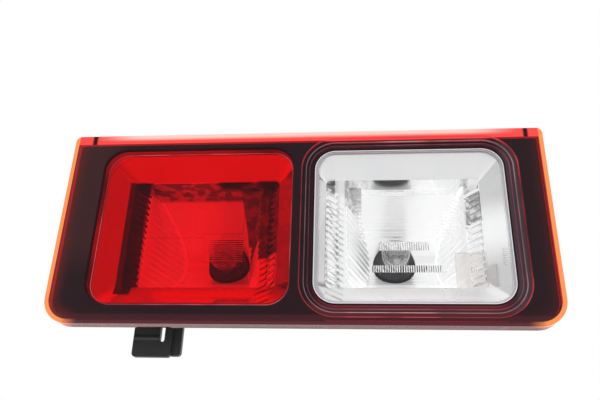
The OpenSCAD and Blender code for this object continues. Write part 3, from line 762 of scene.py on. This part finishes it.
# A wire wound in a screw line about an axis through the start point
def windWire(form, start, axis, wireRadius, windRadius, pitch, turns, stepsPerTurn=12, sides=6):
    axis = Vector(axis).normalized()
    outwards = axis.orthogonal().normalized()
    ring = bmesh.ops.create_circle(form, cap_ends=True, segments=sides, radius=wireRadius)["verts"]
    turn = Matrix((outwards, axis, axis.cross(outwards))).transposed()
    bmesh.ops.rotate(form, verts=ring, cent=(0, 0, 0), matrix=turn)
    bmesh.ops.translate(form, verts=ring, vec=Vector(start) + outwards * windRadius)
    disc = [face for face in form.faces if all(vert in ring for vert in face.verts)]
    bmesh.ops.spin(form, geom=disc, cent=start, axis=axis, dvec=axis * (pitch / stepsPerTurn),
                   angle=math.radians(360 * turns), steps=int(turns * stepsPerTurn),
                   use_merge=False, use_duplicate=False)


filamentCoil = {
    "wire": 0.09,
    "radius": 0.4,
    "pitch": 0.26,
    "tailLength": 0.6,
    "tailSides": 8,
}


def windFilament(side, look):
    low, high = [Vector(corner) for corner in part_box(f"{side}_bulb_filament")]
    middle = (low + high) / 2
    length = (high.x - low.x) / mm - 2 * look["tailLength"]
    turns = length / look["pitch"]
    form = bmesh.new()
    windWire(form, middle - Vector((length / 2 * mm, 0, 0)), (1, 0, 0), look["wire"] * mm,
             look["radius"] * mm, look["pitch"] * mm, turns)
    alongX = Matrix.Rotation(math.radians(90), 3, "Y")
    for end in (-1, 1):
        tail = addCylinder(form, look["wire"] * mm, look["tailLength"] * mm, look["tailSides"])
        bmesh.ops.rotate(form, verts=tail, cent=(0, 0, 0), matrix=alongX)
        offset = (length / 2 + look["tailLength"] / 2) * end * mm
        bmesh.ops.translate(form, verts=tail, vec=middle + Vector((offset, 0, 0)))
    coil = makePiece(f"{side}_filament_coil", form, finishes["tungsten"])
    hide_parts(f"{side}_bulb_filament")


for side in outward:
    windFilament(side, filamentCoil)
print("filaments wound")


# Flutes stacked up the outer end of each bowl, sunk a little into the bowl's curve
endFlutes = {
    "pitch": 3.6,
    "height": 0.55,
    "from": 22.6,
    "focal": 5.8,
    "vertexDepth": 64.6,
    "middleZ": -1.4,
    "count": 15,
    "sunk": 0.8,
    "shortest": 3,
    "sides": 16,
}


def fluteBowlEnd(side, look):
    start = reflectorLook["ends"][side][1]
    halfPitch = look["pitch"] / 2
    d0 = look["from"]
    form = bmesh.new()
    for row in range(look["count"]):
        rise = (row - (look["count"] - 1) / 2) * look["pitch"]
        d1 = look["vertexDepth"] - (abs(rise) + halfPitch) ** 2 / (4 * look["focal"]) + look["sunk"]
        if d1 < d0 + look["shortest"]:
            continue
        ends = []
        for depth in (d0, d1):
            x = start - reflectorLook["endFall"] * (depth - reflectorLook["endStart"])
            ends.append(spot(outward[side] * x, depth, look["middleZ"] + rise))
        along = ends[1] - ends[0]
        flute = addCylinder(form, halfPitch * mm, along.length, look["sides"])
        bmesh.ops.scale(form, verts=flute, vec=(look["height"] / halfPitch, 1, 1))
        upward = Vector((0, 0, 1))
        across = along.cross(upward).normalized()
        turn = Matrix((across, upward, along.normalized())).transposed()
        bmesh.ops.rotate(form, verts=flute, cent=(0, 0, 0), matrix=turn)
        bmesh.ops.translate(form, verts=flute, vec=(ends[0] + ends[1]) / 2)
    makePiece(f"{side}_end_flutes", form, finishOfNode[f"{side}_reflector"])


for side in outward:
    fluteBowlEnd(side, endFlutes)
print("bowl ends fluted")


insertThread = {
    "places": (-90.0, 90.0),
    "bore": 2.1,
    "ridge": 0.17,
    "pitch": 0.8,
    "turns": 10,
    "from": 66.2,
    "stepsPerTurn": 20,
}


def cutThreads(look):
    form = bmesh.new()
    for x in look["places"]:
        windWire(form, spot(x, look["from"], 0), (0, 1, 0), look["ridge"] * mm, look["bore"] * mm,
                 look["pitch"] * mm, look["turns"], look["stepsPerTurn"])
    makePiece("insert_threads", form, finishes["brass"])


cutThreads(insertThread)
print("threads cut")


# Ribs on the back and sides of the tub, and ejector marks on its back
backRibs = {
    "back": 72.228,
    "height": 1.3,
    "sunk": 0.4,
    "rounding": 0.22,
    # left, right, low, high of each rib
    "bars": (
        (-79.0, 79.0, 31.0, 32.5),
        (-79.0, 79.0, -33.8, -32.3),
        (-23.4, -21.9, -32.5, 31.2),
        (24.7, 26.2, -32.5, 31.2),
        (-73.4, -71.9, -32.5, 31.2),
        (74.7, 76.2, -32.5, 31.2),
        (-22.5, 25.5, -1.2, 0.3),
        (-102.1, -95.0, -1.25, 1.25),
        (-85.0, -78.0, -1.25, 1.25),
        (95.0, 102.1, -1.25, 1.25),
    ),
    "sideX": (99.0, 101.4),  # ribs along the tub's sides, from inside the wall outwards
    "sideDepths": (19.0, 72.6),
    "sideRises": (-22.0, 0.0, 22.0),
    "sideHalf": 0.75,
    "marks": ((-11, -17), (13, -17), (-84, 24), (84, 24), (-84, -26), (84, -26), (-47.4, 27), (50.2, 27)),
    "markRadius": 2.6,
    "markDepth": 1,
    "markSunk": 0.25,  # from the back to the middle of a mark
    "markSides": 32,
}


def addBar(form, low, high, rounding):
    bar = bmesh.ops.create_cube(form, size=1)["verts"]
    bmesh.ops.scale(form, verts=bar, vec=high - low)
    bmesh.ops.translate(form, verts=bar, vec=(low + high) / 2)
    edges = dict.fromkeys(edge for vert in bar for edge in vert.link_edges)
    bmesh.ops.bevel(form, geom=list(edges), offset=rounding, segments=2, profile=0.5,
                    affect="EDGES", material=-1)


def ribBack(look):
    form = bmesh.new()
    d0 = look["back"] - look["sunk"]
    d1 = look["back"] + look["height"]
    rounding = look["rounding"] * mm
    for x0, x1, z0, z1 in look["bars"]:
        addBar(form, spot(x0, d0, z0), spot(x1, d1, z1), rounding)
    x0, x1 = look["sideX"]
    d0, d1 = look["sideDepths"]
    for rise in look["sideRises"]:
        low = rise - look["sideHalf"]
        high = rise + look["sideHalf"]
        addBar(form, spot(x0, d0, low), spot(x1, d1, high), rounding)
        addBar(form, spot(-x1, d0, low), spot(-x0, d1, high), rounding)
    alongY = Matrix.Rotation(math.radians(90), 3, "X")
    for x, z in look["marks"]:
        mark = addCylinder(form, look["markRadius"] * mm, look["markDepth"] * mm, look["markSides"])
        bmesh.ops.rotate(form, verts=mark, cent=(0, 0, 0), matrix=alongY)
        bmesh.ops.translate(form, verts=mark, vec=spot(x, look["back"] - look["markSunk"], z))
    makePiece("housing_ribs", form, finishes["housing black"], smooth=False)


ribBack(backRibs)
print("back ribbed")


# A dim patch of the room stands in front and above, everything else is white
studio = {
    "patchDirection": (-0.08, -0.93, 0.36),
    "patchColour": (0.34, 0.3, 0.36),
    "patchEdge": (0.8, 0.97),
    "sky": (1.0, 1.0, 1.0),
    "bounces": 24,
    "mirrorBounces": 16,
    "floorDrop": 0.3,
    "floorSize": 30.0,
    "floor": {
        "tones": ((0.815, 0.815, 0.815), (0.825, 0.825, 0.825)),
        "roughness": 0.6,
        "grainDepth": 0,
    },
}


def lightStudio(look):
    world = bpy.data.worlds.new("studio")
    bpy.context.scene.world = world
    room = Finish(world)
    toPatch = tuple(Vector(look["patchDirection"]).normalized())
    direction = room.node("ShaderNodeTexCoord", {}, out="Generated")
    facing = room.node("ShaderNodeVectorMath", {"operation": "DOT_PRODUCT"},
                       (direction, toPatch), out="Value")
    colour = room.blend(facing.ramp(*look["patchEdge"]), look["sky"], look["patchColour"])
    lighting = room.node("ShaderNodeBackground", {}, {"Color": colour})
    backdrop = room.node("ShaderNodeBackground", {}, {"Color": look["sky"]})
    seen = room.node("ShaderNodeLightPath", {}, out="Is Camera Ray")
    through = room.node("ShaderNodeLightPath", {}, out="Is Transmission Ray")
    room.close(room.mixed(seen.above(through), lighting, backdrop), "ShaderNodeOutputWorld")
    bpy.context.scene.cycles.max_bounces = look["bounces"]
    bpy.context.scene.cycles.glossy_bounces = look["mirrorBounces"]


def layFloor(look):
    form = bmesh.new()
    bmesh.ops.create_grid(form, x_segments=1, y_segments=1, size=look["floorSize"] / 2)
    bmesh.ops.translate(form, verts=form.verts, vec=(0, 0, -look["floorDrop"]))
    mesh = bpy.data.meshes.new("floor")
    form.to_mesh(mesh)
    form.free()
    mesh.materials.append(plasticFinish("floor", look["floor"]))
    floor = bpy.data.objects.new("floor", mesh)
    bpy.context.scene.collection.objects.link(floor)


lightStudio(studio)
layFloor(studio)
bpy.context.scene.view_settings.view_transform = "Standard"
print("studio lit")
